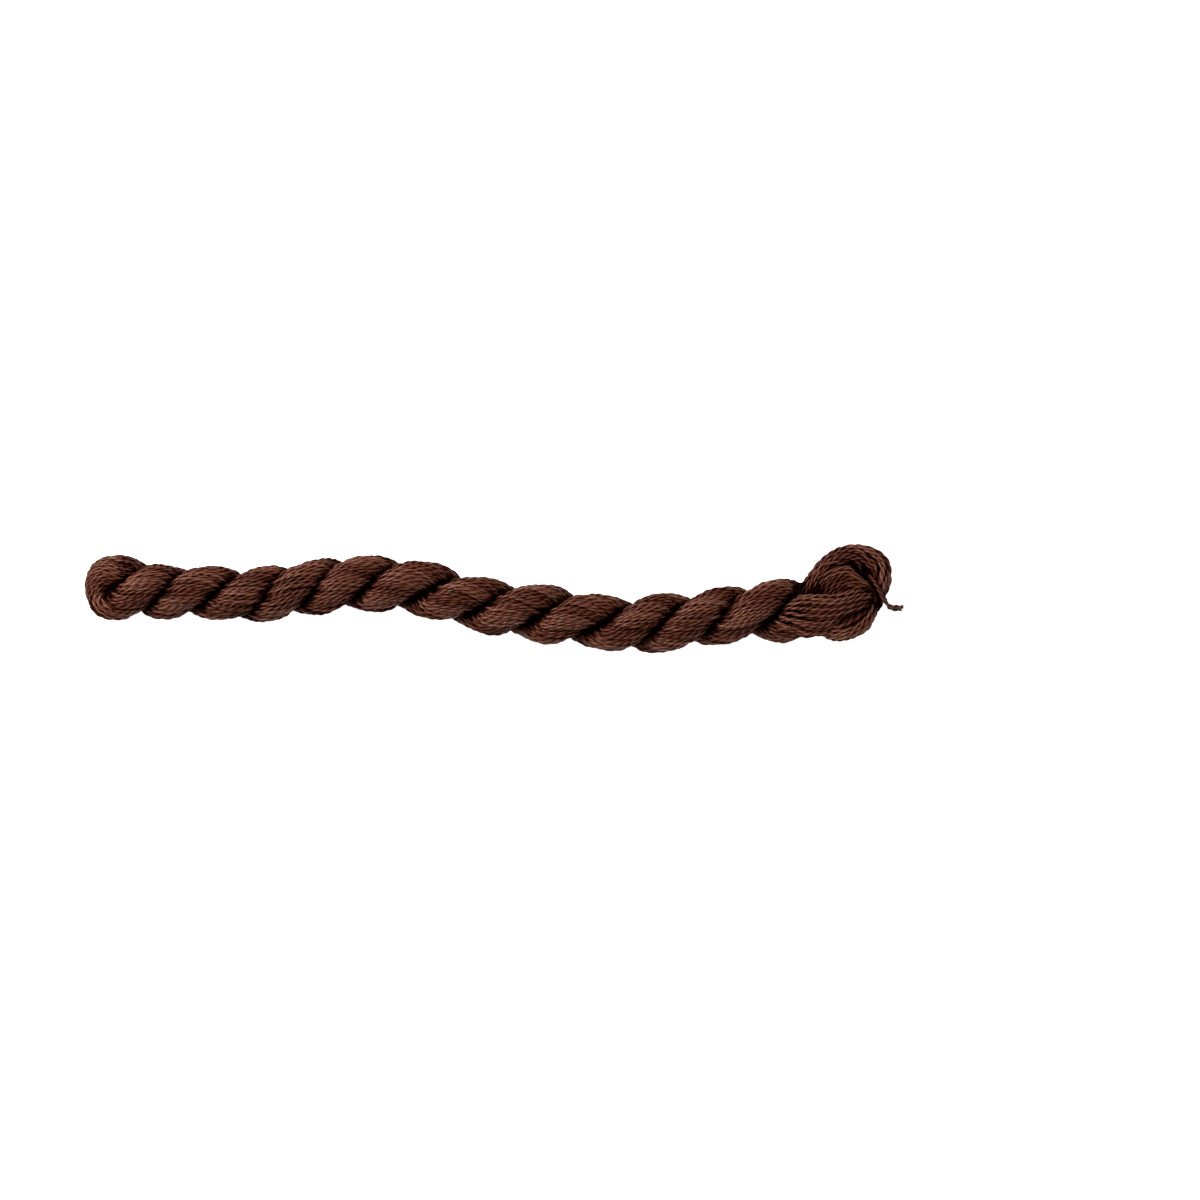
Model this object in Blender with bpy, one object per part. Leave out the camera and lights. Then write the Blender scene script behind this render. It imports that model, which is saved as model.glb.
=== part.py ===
"""Twisted skein of soft thread with its tie thread, lying flat. Metres, +Z up."""

import math
from collections import namedtuple

import bmesh
import bpy
from mathutils import Vector

# sizes in millimetres, turned into metres where a mesh is made
mm = 0.001
ply_depth = 4.1
ply_width = 5.0
axis_height = 7.4
lift = 3.7
plain_reach = 7.9
swell_share = 0.09
fold_lean = 1.0
voxel = 0.42
triangle_goal = 7600
tie_thickness = 1.2
centring = Vector((0.5, 0.0, 0.0))

# one row per half turn of the two plies about each other, from the fold to the loops:
# swell is where they lie side by side, neck is the next place where one covers the other
Half = namedtuple("Half", "swell_x swell_y reach neck_x neck_y")
half_turns = (
    Half(-109.1, 3.4, 9.4, -101.8, 2.9),
    Half(-95.6, 1.6, 7.8, -88.5, 2.1),
    Half(-80.2, 1.5, 7.7, -73.0, 0.6),
    Half(-65.5, 1.2, 8.0, -58.4, 2.4),
    Half(-50.1, 3.2, 8.0, -43.1, 4.6),
    Half(-34.2, 4.3, 8.1, -27.1, 4.1),
    Half(-17.1, 2.2, 8.1, -10.0, 0.0),
    Half(-0.6, -2.2, 8.1, 6.5, -3.4),
    Half(16.5, -4.7, 8.6, 23.9, -5.6),
    Half(34.2, -7.2, 8.1, 41.9, -8.1),
    Half(50.7, -7.2, 8.7, 59.6, -6.6),
    Half(68.4, -5.3, 8.3, 76.1, -4.0),
    Half(85.8, -3.8, 9.4, 92.3, -4.1),
)

# where the plies turn into each other: middle, half thickness upright, half width in plan
Turn = namedtuple("Turn", "x y z width depth")
fold = (
    Turn(-108.0, 8.1, 7.4, 5.0, 4.7),
    Turn(-111.2, 7.5, 7.0, 5.3, 5.0),
    Turn(-113.6, 5.8, 6.6, 5.3, 5.0),
    Turn(-114.7, 3.1, 6.2, 5.3, 4.6),
    Turn(-114.6, 0.6, 6.1, 5.3, 4.0),
    Turn(-113.9, -1.5, 6.4, 5.3, 3.5),
    Turn(-111.8, -2.2, 6.9, 5.2, 3.7),
    Turn(-109.3, -2.1, 7.3, 5.0, 4.4),
)

# the two end loops, one row per place along a bundle: middle, half width in plan, half
# thickness, and the degrees by which it leans over its right side
Band = namedtuple("Band", "x y z width depth tilt")
front_loop = (
    Band(84.7, -8.6, 6.6, 5.0, 4.4, 0.0),
    Band(87.6, -7.2, 9.4, 5.6, 3.9, 0.0),
    Band(90.6, -5.9, 11.5, 6.2, 3.2, 0.0),
    Band(93.2, -5.3, 12.3, 6.4, 2.7, 2.0),
    Band(95.9, -5.2, 12.5, 6.3, 2.4, 8.0),
    Band(98.5, -4.9, 12.4, 6.2, 2.3, 16.0),
    Band(101.2, -4.3, 12.0, 5.9, 2.3, 26.0),
    Band(103.8, -3.4, 11.6, 5.6, 2.4, 32.0),
    Band(106.5, -2.5, 11.2, 5.3, 2.5, 34.0),
    Band(109.1, -1.6, 10.4, 4.6, 2.7, 28.0),
    Band(111.5, -1.0, 8.6, 3.3, 3.1, 15.0),
    Band(113.4, -0.4, 6.9, 2.2, 4.0, 0.0),
    Band(114.6, 1.2, 6.5, 1.9, 4.0, 0.0),
    Band(115.4, 3.5, 6.4, 2.2, 3.9, 0.0),
    Band(115.6, 6.2, 6.2, 2.7, 3.7, 0.0),
    Band(114.8, 9.1, 5.7, 3.0, 3.5, 0.0),
    Band(112.8, 11.4, 5.5, 3.1, 3.4, 0.0),
    Band(110.2, 12.5, 5.3, 3.2, 3.4, 0.0),
    Band(106.9, 13.0, 5.2, 3.2, 3.4, 0.0),
    Band(103.8, 12.4, 5.2, 2.9, 3.6, 0.0),
    Band(101.0, 10.8, 5.5, 2.6, 3.8, 0.0),
    Band(98.6, 8.9, 6.0, 2.5, 3.8, 0.0),
    Band(96.5, 6.6, 6.8, 2.5, 3.7, 0.0),
    Band(94.7, 4.0, 7.6, 2.5, 3.5, 0.0),
    Band(93.0, 1.2, 7.9, 2.6, 3.4, 0.0),
    Band(90.3, -2.4, 7.8, 3.2, 3.3, 0.0),
    Band(87.3, -5.6, 7.4, 4.1, 3.5, 0.0),
    Band(84.7, -7.4, 6.6, 4.4, 4.0, 0.0),
)
back_loop = (
    Band(84.7, 1.6, 7.6, 4.2, 4.4, 0.0),
    Band(88.5, 1.1, 6.9, 4.3, 4.2, 0.0),
    Band(92.0, -0.1, 5.2, 4.6, 3.6, 0.0),
    Band(95.4, -3.7, 3.8, 4.3, 3.2, 10.0),
    Band(98.4, -7.1, 6.4, 3.6, 3.8, 15.0),
    Band(101.5, -9.3, 9.2, 3.1, 3.9, 15.0),
    Band(104.4, -9.4, 10.5, 3.0, 3.8, 10.0),
    Band(106.9, -8.6, 10.7, 3.0, 3.7, 5.0),
    Band(109.0, -7.2, 10.4, 2.9, 3.6, 0.0),
    Band(110.5, -5.5, 9.6, 2.5, 3.8, 0.0),
    Band(111.4, -3.5, 8.4, 2.1, 4.0, 0.0),
    Band(112.1, -1.2, 7.6, 1.8, 4.1, 0.0),
    Band(112.4, 0.9, 7.4, 1.7, 4.0, 0.0),
    Band(111.4, 2.5, 7.3, 1.8, 3.8, 0.0),
    Band(109.3, 3.5, 7.2, 2.6, 3.6, 0.0),
    Band(106.6, 4.6, 7.3, 3.5, 3.4, 0.0),
    Band(104.0, 5.3, 7.7, 4.3, 3.0, 0.0),
    Band(100.9, 4.3, 8.4, 4.4, 2.6, 0.0),
    Band(98.4, 2.5, 8.6, 4.5, 2.6, 0.0),
    Band(96.3, 0.0, 8.0, 4.4, 2.6, 0.0),
    Band(94.4, -2.2, 7.3, 4.4, 2.5, 0.0),
    Band(91.7, -2.4, 6.8, 4.4, 2.6, 0.0),
    Band(88.4, -0.6, 6.8, 4.2, 3.2, 0.0),
    Band(84.7, 1.2, 7.0, 4.2, 4.2, 0.0),
)

# one row per bend of the tie thread, from one free end through the loops to the other
Bend = namedtuple("Bend", "x y z")
tie_bends = (
    Bend(121.5, -2.6, 8.3),
    Bend(120.1, -2.6, 8.8),
    Bend(118.6, -2.5, 9.1),
    Bend(117.2, -2.2, 9.7),
    Bend(116.2, -1.3, 10.5),
    Bend(115.4, 0.1, 11.6),
    Bend(114.4, 2.1, 12.1),
    Bend(113.4, 3.9, 11.8),
    Bend(112.5, 5.3, 10.2),
    Bend(111.7, 6.3, 7.0),
    Bend(111.9, 6.0, 3.4),
    Bend(113.1, 4.4, 1.2),
    Bend(114.8, 2.2, 1.0),
    Bend(116.1, 0.3, 2.0),
    Bend(116.7, -1.2, 4.4),
    Bend(117.2, -2.5, 6.1),
    Bend(118.1, -3.2, 6.9),
    Bend(119.5, -3.4, 7.0),
    Bend(121.5, -3.3, 6.6),
)


def clear_scene():
    for item in list(bpy.data.objects):
        bpy.data.objects.remove(item, do_unlink=True)


def smooth(values, place):
    """Value of a curve through evenly numbered values, at a number with a fraction."""
    last = len(values) - 1
    n = min(max(int(math.floor(place)), 0), last - 1)
    t = place - n
    p1 = values[n]
    p2 = values[n + 1]
    p0 = values[n - 1] if n > 0 else 2 * p1 - p2
    p3 = values[n + 2] if n + 2 <= last else 2 * p2 - p1
    return 0.5 * (
        2 * p1
        + (p2 - p0) * t
        + (2 * p0 - 5 * p1 + 4 * p2 - p3) * t * t
        + (3 * p1 - p0 - 3 * p2 + p3) * t * t * t
    )


def run_columns():
    """Knots of the run, two a half turn: place along, axis offset and side reach."""
    along = []
    across = []
    reach = []
    for n, row in enumerate(half_turns):
        following = half_turns[min(n + 1, len(half_turns) - 1)]
        along += [row.swell_x, row.neck_x]
        across += [row.swell_y, row.neck_y]
        reach += [row.reach, (row.reach + following.reach) / 2]
    return along, across, reach


def ply_depth_at(reach):
    """Half depth of a ply: it swells where the two stand further apart."""
    return ply_depth * (1 + swell_share * (reach - plain_reach))


def ply_point(place, side):
    """Middle, outward direction and half depth of a ply; side is 0 or pi."""
    along, across, reach = run_columns()
    angle = math.pi + side - place * math.pi / 2
    side_reach = smooth(reach, place)
    depth = ply_depth_at(side_reach)
    outward = Vector((0.0, math.cos(angle), math.sin(angle)))
    lean = fold_lean * max(0.0, 1 - place) * max(0.0, outward.y)
    middle = Vector((
        smooth(along, place) + lean,
        smooth(across, place) + (side_reach - depth) * outward.y,
        axis_height + lift * outward.z,
    ))
    return middle, outward, ply_width, depth


def table_places(rows, steps):
    """Rows worked out between those of a table, each with the plan direction to its right."""
    kind = type(rows[0])
    found = [
        kind(*(smooth([getattr(row, name) for row in rows], n / steps) for name in kind._fields))
        for n in range((len(rows) - 1) * steps + 1)
    ]
    places = []
    for n, here in enumerate(found):
        before = found[max(n - 1, 0)]
        after = found[min(n + 1, len(found) - 1)]
        ahead = Vector((after.x - before.x, after.y - before.y, 0.0)).normalized()
        places.append((here, Vector((ahead.y, -ahead.x, 0.0))))
    return places


def ply_route():
    """Rings of the whole ply: back along one half, round the fold, out along the other."""
    steps = 7
    last = (2 * len(half_turns) - 1) * steps
    rings = [ply_point(n / steps, math.pi) for n in range(last, 0, -1)]
    for row, right in table_places(fold, 2):
        rings.append((Vector((row.x, row.y, row.z)), right, row.width, row.depth))
    rings += [ply_point(n / steps, 0.0) for n in range(1, last + 1)]
    return rings


def band_route(rows):
    """Rings of a loop, each leaned over by its tilt."""
    rings = []
    for row, right in table_places(rows, 3):
        lean = math.radians(row.tilt)
        outward = right * math.sin(lean) + Vector((0.0, 0.0, math.cos(lean)))
        rings.append((Vector((row.x, row.y, row.z)), outward, row.width, row.depth))
    return rings


def sweep(shape, rings, sides):
    """Closed tube of oval rings: each ring has its half depth along outward."""
    rows = []
    for n, (middle, outward, width, depth) in enumerate(rings):
        before = rings[max(n - 1, 0)][0]
        after = rings[min(n + 1, len(rings) - 1)][0]
        ahead = (after - before).normalized()
        across = ahead.cross(outward).normalized()
        up = across.cross(ahead).normalized()
        row = []
        for k in range(sides):
            turn = 2 * math.pi * k / sides
            spot = middle + across * (width * math.cos(turn)) + up * (depth * math.sin(turn))
            row.append(shape.verts.new((spot + centring) * mm))
        rows.append(row)
    for low, high in zip(rows, rows[1:]):
        for k in range(sides):
            m = (k + 1) % sides
            shape.faces.new((low[k], low[m], high[m], high[k]))
    for row, end, flip in ((rows[0], rings[0][0], True), (rows[-1], rings[-1][0], False)):
        middle = shape.verts.new((end + centring) * mm)
        for k in range(sides):
            m = (k + 1) % sides
            corners = (row[m], row[k], middle) if flip else (row[k], row[m], middle)
            shape.faces.new(corners)


def material(name, colour, roughness):
    made = bpy.data.materials.new(name)
    made.use_nodes = True
    shader = made.node_tree.nodes["Principled BSDF"]
    shader.inputs["Base Color"].default_value = (*colour, 1.0)
    shader.inputs["Roughness"].default_value = roughness
    shader.inputs["Metallic"].default_value = 0.0
    return made


def add_object(name, shape, look):
    mesh = bpy.data.meshes.new(name)
    bmesh.ops.recalc_face_normals(shape, faces=shape.faces)
    shape.to_mesh(mesh)
    shape.free()
    made = bpy.data.objects.new(name, mesh)
    bpy.context.scene.collection.objects.link(made)
    made.data.materials.append(look)
    return made


def baked(item):
    """Mesh of the object with its modifiers worked out."""
    bpy.context.view_layer.update()
    seen = bpy.context.evaluated_depsgraph_get()
    mesh = bpy.data.meshes.new_from_object(item.evaluated_get(seen))
    item.modifiers.clear()
    return mesh


def flatten_rest(mesh, height):
    """Cuts the mesh level at a height, closes the cuts and stands it on zero."""
    shape = bmesh.new()
    shape.from_mesh(mesh)
    everything = list(shape.verts) + list(shape.edges) + list(shape.faces)
    cut = bmesh.ops.bisect_plane(
        shape, geom=everything, dist=1e-7, plane_co=(0, 0, height), plane_no=(0, 0, 1),
        clear_inner=True,
    )
    rim = [g for g in cut["geom_cut"] if isinstance(g, bmesh.types.BMEdge)]
    bmesh.ops.holes_fill(shape, edges=rim, sides=0)
    bmesh.ops.triangulate(shape, faces=[f for f in shape.faces if len(f.verts) > 3])
    bmesh.ops.dissolve_degenerate(shape, dist=2e-5, edges=shape.edges)
    bmesh.ops.triangulate(shape, faces=[f for f in shape.faces if len(f.verts) > 3])
    bmesh.ops.translate(shape, verts=shape.verts, vec=(0, 0, -height))
    return shape


def make_skein():
    shape = bmesh.new()
    sweep(shape, ply_route(), 20)
    for rows in (front_loop, back_loop):
        sweep(shape, band_route(rows), 20)
    look = material("silk_thread", (0.105, 0.036, 0.021), 0.55)
    rough = add_object("skein_rough", shape, look)
    fuse = rough.modifiers.new("fuse", "REMESH")
    fuse.mode = "VOXEL"
    fuse.voxel_size = voxel * mm
    fused = baked(rough)
    rough.data = fused
    sides = sum(len(face.vertices) - 2 for face in fused.polygons)
    thin = rough.modifiers.new("thin", "DECIMATE")
    thin.ratio = min(1.0, triangle_goal / sides)
    thin.use_collapse_triangulate = True
    thinned = baked(rough)
    flat = flatten_rest(thinned, 0.0)
    bpy.data.objects.remove(rough, do_unlink=True)
    return add_object("skein", flat, look)


def make_tie():
    look = material("tie_thread", (0.16, 0.062, 0.038), 0.55)
    curve = bpy.data.curves.new("tie", "CURVE")
    curve.dimensions = "3D"
    curve.bevel_depth = tie_thickness / 2 * mm
    curve.bevel_resolution = 2
    curve.use_fill_caps = True
    places = 60
    line = curve.splines.new("POLY")
    line.points.add(places)
    for n in range(places + 1):
        place = n * (len(tie_bends) - 1) / places
        bend = [smooth([getattr(row, name) for row in tie_bends], place) for name in Bend._fields]
        line.points[n].co = (*((Vector(bend) + centring) * mm), 1.0)
    made = bpy.data.objects.new("tie", curve)
    bpy.context.scene.collection.objects.link(made)
    curve.materials.append(look)
    return made


clear_scene()
make_skein()
make_tie()
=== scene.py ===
import math
from collections import namedtuple

import bpy
import numpy as np
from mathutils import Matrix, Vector
from mathutils.kdtree import KDTree


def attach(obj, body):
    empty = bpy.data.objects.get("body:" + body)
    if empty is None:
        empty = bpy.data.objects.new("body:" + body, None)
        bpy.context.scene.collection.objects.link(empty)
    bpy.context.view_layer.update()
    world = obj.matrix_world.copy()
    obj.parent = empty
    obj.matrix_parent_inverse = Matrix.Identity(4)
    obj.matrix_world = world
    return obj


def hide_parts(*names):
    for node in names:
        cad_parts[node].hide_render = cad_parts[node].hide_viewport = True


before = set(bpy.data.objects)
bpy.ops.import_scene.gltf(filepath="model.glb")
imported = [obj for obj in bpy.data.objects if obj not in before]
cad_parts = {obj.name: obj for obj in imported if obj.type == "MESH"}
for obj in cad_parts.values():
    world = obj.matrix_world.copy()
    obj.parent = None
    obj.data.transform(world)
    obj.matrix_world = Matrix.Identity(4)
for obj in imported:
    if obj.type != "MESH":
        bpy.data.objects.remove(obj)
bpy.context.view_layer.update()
mm = 0.001
centring = np.array([0.5, 0.0, 0.0])  # as in the solids

# the run: one row per half turn, its swell, then the neck where one ply covers the other
# lay is how strongly the threads of the covering ply are twisted back
Half = namedtuple("Half", "swellX swellY reach neckX neckY lay")
halfTurns = (
    Half(-109.1, 3.4, 9.4, -101.8, 2.9, 1.0),
    Half(-95.6, 1.6, 7.8, -88.5, 2.1, 1.0),
    Half(-80.2, 1.5, 7.7, -73.0, 0.6, 1.0),
    Half(-65.5, 1.2, 8.0, -58.4, 2.4, 0.6),
    Half(-50.1, 3.2, 8.0, -43.1, 4.6, 1.0),
    Half(-34.2, 4.3, 8.1, -27.1, 4.1, 1.0),
    Half(-17.1, 2.2, 8.1, -10.0, 0.0, 1.05),
    Half(-0.6, -2.2, 8.1, 6.5, -3.4, 1.0),
    Half(16.5, -4.7, 8.6, 23.9, -5.6, 1.0),
    Half(34.2, -7.2, 8.1, 41.9, -8.1, 0.85),
    Half(50.7, -7.2, 8.7, 59.6, -6.6, 0.9),
    Half(68.4, -5.3, 8.3, 76.1, -4.0, 0.65),
    Half(85.8, -3.8, 9.4, 92.3, -4.1, 1.0),
)

# the two end loops: middle of the bundle, half width in plan, half thickness, how far its
# threads lie in layers side by side instead of in rings, how strongly they are twisted, and
# the degrees by which the section leans over its right side
Band = namedtuple("Band", "x y z width depth layered lay tilt")
frontLoop = (
    Band(84.7, -8.6, 6.6, 5.0, 4.4, 0.0, 2.0, 0.0),
    Band(87.6, -7.2, 9.4, 5.6, 3.9, 0.0, 2.0, 0.0),
    Band(90.6, -5.9, 11.5, 6.2, 3.2, 0.1, 1.6, 0.0),
    Band(93.2, -5.3, 12.3, 6.4, 2.7, 0.6, 0.5, 2.0),
    Band(95.9, -5.2, 12.5, 6.3, 2.4, 1.0, 0.0, 8.0),
    Band(98.5, -4.9, 12.4, 6.2, 2.3, 1.0, 0.0, 16.0),
    Band(101.2, -4.3, 12.0, 5.9, 2.3, 1.0, 0.0, 26.0),
    Band(103.8, -3.4, 11.6, 5.6, 2.4, 1.0, 0.0, 32.0),
    Band(106.5, -2.5, 11.2, 5.3, 2.5, 1.0, 0.0, 34.0),
    Band(109.1, -1.6, 10.4, 4.6, 2.7, 1.0, 0.0, 28.0),
    Band(111.5, -1.0, 8.6, 3.3, 3.1, 0.9, 0.0, 15.0),
    Band(113.4, -0.4, 6.9, 2.2, 4.0, 0.4, 0.5, 0.0),
    Band(114.6, 1.2, 6.5, 1.9, 4.2, 0.0, 1.0, 0.0),
    Band(115.4, 3.5, 6.4, 2.2, 4.1, 0.0, 1.0, 0.0),
    Band(115.6, 6.2, 6.2, 2.7, 3.7, 0.0, 1.0, 0.0),
    Band(114.8, 9.1, 5.7, 3.0, 3.5, 0.0, 1.0, 0.0),
    Band(112.6, 11.1, 5.5, 3.4, 3.4, 0.0, 1.0, 0.0),
    Band(110.1, 12.2, 5.3, 3.5, 3.4, 0.0, 1.0, 0.0),
    Band(106.9, 12.7, 5.2, 3.5, 3.4, 0.0, 1.0, 0.0),
    Band(103.9, 12.1, 5.2, 3.2, 3.6, 0.0, 1.0, 0.0),
    Band(101.0, 10.8, 5.5, 2.6, 3.8, 0.0, 1.0, 0.0),
    Band(98.6, 8.9, 6.0, 2.5, 3.8, 0.0, 1.0, 0.0),
    Band(96.5, 6.6, 6.8, 2.5, 3.7, 0.0, 0.8, 0.0),
    Band(94.7, 4.0, 7.6, 2.5, 3.5, 0.0, 0.6, 0.0),
    Band(93.0, 1.2, 7.9, 2.6, 3.4, 0.0, 0.5, 0.0),
    Band(90.3, -2.4, 7.8, 3.2, 3.3, 0.0, 0.5, 0.0),
    Band(87.3, -5.6, 7.4, 4.1, 3.5, 0.0, 0.5, 0.0),
    Band(84.7, -7.4, 6.6, 4.4, 4.0, 0.0, 0.5, 0.0),
)
backLoop = (
    Band(84.7, 1.6, 7.6, 4.2, 4.4, 0.0, 0.5, 0.0),
    Band(88.5, 1.1, 6.9, 4.3, 4.2, 0.0, 0.5, 0.0),
    Band(92.0, -0.1, 5.2, 4.6, 3.6, 0.0, 0.5, 0.0),
    Band(95.4, -3.7, 3.8, 4.3, 3.2, 0.0, 0.5, 10.0),
    Band(98.4, -7.1, 6.4, 3.6, 3.8, 0.0, 0.3, 15.0),
    Band(101.5, -9.3, 9.2, 3.1, 3.9, 0.0, 0.1, 15.0),
    Band(104.4, -9.4, 10.5, 3.0, 3.8, 0.0, 0.0, 10.0),
    Band(106.9, -8.6, 10.7, 3.0, 3.7, 0.0, 0.0, 5.0),
    Band(109.0, -7.2, 10.4, 2.9, 3.6, 0.0, 0.0, 0.0),
    Band(110.5, -5.5, 9.6, 2.5, 3.8, 0.0, 0.0, 0.0),
    Band(111.4, -3.5, 8.4, 2.1, 4.0, 0.0, 0.2, 0.0),
    Band(112.1, -1.2, 7.6, 1.8, 4.1, 0.0, 0.3, 0.0),
    Band(112.4, 1.2, 7.4, 1.8, 4.1, 0.0, 0.3, 0.0),
    Band(111.7, 3.2, 7.2, 2.4, 4.0, 0.3, 0.2, 0.0),
    Band(109.7, 4.6, 7.0, 3.4, 4.0, 1.0, 0.0, 0.0),
    Band(106.9, 5.3, 7.1, 4.1, 3.8, 1.0, 0.0, 0.0),
    Band(104.0, 5.3, 7.7, 4.3, 3.0, 1.0, 0.0, 0.0),
    Band(100.9, 4.3, 8.4, 4.4, 2.6, 1.0, 0.0, 0.0),
    Band(98.4, 2.5, 8.6, 4.5, 2.6, 1.0, 0.0, 0.0),
    Band(96.3, 0.0, 8.0, 4.4, 2.6, 0.6, 0.2, 0.0),
    Band(94.4, -2.2, 7.3, 4.4, 2.5, 0.0, 0.5, 0.0),
    Band(91.7, -2.4, 6.8, 4.4, 2.6, 0.0, 0.5, 0.0),
    Band(88.4, -0.6, 6.8, 4.2, 3.2, 0.0, 0.5, 0.0),
    Band(84.7, 1.2, 7.0, 4.2, 4.2, 0.0, 0.5, 0.0),
)

# where the plies turn into each other at the other end
Turn = namedtuple("Turn", "x y z width depth")
fold = (
    Turn(-108.0, 8.1, 7.4, 5.0, 4.7),
    Turn(-111.2, 7.5, 7.0, 5.3, 5.0),
    Turn(-113.6, 5.8, 6.6, 5.3, 5.0),
    Turn(-114.7, 3.1, 6.2, 5.3, 4.6),
    Turn(-114.6, 0.6, 6.1, 5.3, 4.0),
    Turn(-113.9, -1.5, 6.4, 5.3, 3.5),
    Turn(-111.8, -2.2, 6.9, 5.2, 3.7),
    Turn(-109.3, -2.1, 7.3, 5.0, 4.4),
)

skein = {
    "plyDepth": 4.1,  # half thickness of a ply towards and away from its mate
    "plyWidth": 5.0,
    "plainReach": 7.9,
    "swellShare": 0.09,
    "axisHeight": 7.4,
    "lift": 3.7,
    "foldLean": 1.0,
    "foldLay": 1.0,
    "threadWidth": 1.14,  # across the two strands
    "strandWidth": 0.66,
    "strandTurn": 5.2,  # mm for one whole turn of the strands
    "turnSpread": 0.14,
    "unevenTurn": 1.3,  # radians that the strands run ahead or behind
    "unevenWidth": 0.1,
    "threadLay": 0.215,  # radians a mm by which threads turn in a ply
    "loopLay": 0.11,
    "wander": 0.55,  # mm that a thread strays from its place
    "strayWaves": (38, 30, 22),  # mm over which it strays round, out and sideways
    "girthWave": 24,
    "turnWave": 30,
    "rings": (4, 11, 19, 26),  # threads in each ring of a ply, the innermost first
    "loopRings": (4, 10, 16),
    "loopLayers": (11, 10, 9),  # the same threads where the bundle is flat, from the top
    "fanLayers": (8, 8, 7, 7),
    "loopWander": 0.75,
    "routeStep": 1.0,  # mm from point to point
    "joinPoints": 11,  # over which a ply's thread passes into a loop's
    "eyeMiddle": (109.9, 5.6),  # the gap between fan and arch
    "eyeReach": 6.0,
    "eyeDrop": 2.6,  # mm that the fan's upper threads draw back from it
    "fanFill": 1.8,  # mm that deep threads move in under it
    "archFill": 3.2,
    "eyeEdge": 2.2,
    "eyeSpread": 7.2,
    "eyeTurn": -28.0,
    "eyeFloor": 6.2,
    "eyeSoft": 1.5,  # mm over which a thread turns from deep to upper
    "eyeWiden": 1.35,  # how much longer the gap is below
    # reach of the deep threads under the eye, the painted shade they get, and how much thicker they
    # are
    "eyeShadow": 8.2,
    "eyePaintedShade": 0.5,
    "eyeGirth": 1.8,
    "crowdReach": 5.0,  # mm round a point in which other threads add painted shade to it
    # share of the painted shade that the loops and the fold get
    "loopCrowd": 0.9,
    "openCell": 0.6,  # grid and blur in mm by which the way out of a bundle is found
    "openSpread": 1.1,
    "foldEdge": -104.0,
    "loopEdge": 88.0,
    "edgeSoft": 6,
    "knot": (114.6, -0.3, 6.0),  # where the tie squeezes the threads
    "knotReach": 4.5,
    "knotPinch": 0.42,
    "loopGirth": 0.92,
    "coverGirth": 1.5,  # for threads under others, so that no light shows through
    "coreShare": 0.5,  # of a bundle's half thickness
    "coreSides": (-0.56, -0.28, 0.0, 0.28, 0.56),  # of its half width
    "coreStep": 1.5,
    "contact": 0.88,  # of the thread's width, where two threads touch
    "relaxRounds": 44,
    "quickRounds": 8,
    "spacing": {"fine": 0.66, "medium": 0.95, "coarse": 1.6},  # mm from section to section
    "corners": {"fine": 10, "medium": 8, "coarse": 6},
    "pieceTriangles": 190000,
    "seed": 7,
}


# smooth curve through a table's rows, at row numbers with a fraction
def throughRows(values, places):
    values = np.asarray(values, float)
    last = len(values) - 1
    n = np.clip(np.floor(places).astype(int), 0, last - 1)
    t = (places - n)[:, None]
    ends = np.vstack([2 * values[0] - values[1], values, 2 * values[-1] - values[-2]])
    p0, p1, p2, p3 = ends[n], ends[n + 1], ends[n + 2], ends[n + 3]
    return 0.5 * (
        2 * p1
        + (p2 - p0) * t
        + (2 * p0 - 5 * p1 + 4 * p2 - p3) * t ** 2
        + (3 * p1 - p0 - 3 * p2 + p3) * t ** 3
    )


def unit(v):
    return v / np.maximum(np.linalg.norm(v, axis=-1, keepdims=True), 1e-12)


def distanceAlong(points):
    steps = np.linalg.norm(np.diff(points, axis=0), axis=1)
    return np.concatenate([[0.0], np.cumsum(steps)])


# rows of a route: middle x y z, outward x y z, half width, half depth, lay, layered
def evenRoute(route, gap):
    along = distanceAlong(route[:, :3])
    count = int(round(along[-1] / gap)) + 1
    wanted = np.linspace(0, along[-1], count)
    return np.stack([np.interp(wanted, along, column) for column in route.T], axis=1)


# one ply of the run, side 0 or pi, at places counted two to a half turn
def plyRows(places, side, v):
    knots = []
    for n, row in enumerate(halfTurns):
        after = halfTurns[min(n + 1, len(halfTurns) - 1)]
        seen = row.lay if (n % 2 == 0) == (side == 0) else 1.0
        knots.append((row.swellX, row.swellY, row.reach, 1.0))
        knots.append((row.neckX, row.neckY, (row.reach + after.reach) / 2, seen))
    x, y, reach, lay = throughRows(knots, places).T
    angle = math.pi + side - places * math.pi / 2
    depth = v["plyDepth"] * (1 + v["swellShare"] * (reach - v["plainReach"]))
    outY, outZ = np.cos(angle), np.sin(angle)
    lean = v["foldLean"] * np.maximum(0, 1 - places) * np.maximum(0, outY)
    return np.stack([
        x + lean, y + (reach - depth) * outY, v["axisHeight"] + v["lift"] * outZ,
        0 * x, outY, outZ, 0 * x + v["plyWidth"], depth, lay, 0 * x,
    ], axis=1)


# the whole ply: back along one half, round the fold, out along the other
def plyRoute(v):
    last = 2 * len(halfTurns) - 1
    places = np.linspace(0, last, 12 * last + 1)[1:]
    x, y, z, width, depth = throughRows(fold, np.linspace(0, len(fold) - 1, 36)).T
    ahead = unit(np.gradient(np.stack([x, y], axis=1), axis=0))
    bend = np.stack([x, y, z, ahead[:, 1], -ahead[:, 0], 0 * x, width, depth,
                     0 * x + v["foldLay"], 0 * x], axis=1)
    return np.vstack([plyRows(places, math.pi, v)[::-1], bend, plyRows(places, 0, v)])


# one end loop, its flat bundle leaned over by its tilt
def bandRoute(rows):
    places = np.linspace(0, len(rows) - 1, 6 * (len(rows) - 1) + 1)
    x, y, z, width, depth, layered, lay, tilt = throughRows(rows, places).T
    ahead = unit(np.gradient(np.stack([x, y, 0 * x], axis=1), axis=0))
    sine, cosine = np.sin(np.radians(tilt)), np.cos(np.radians(tilt))
    return np.stack([x, y, z, ahead[:, 1] * sine, -ahead[:, 0] * sine, cosine,
                     width, depth, lay, np.clip(layered, 0, 1)], axis=1)


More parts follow.
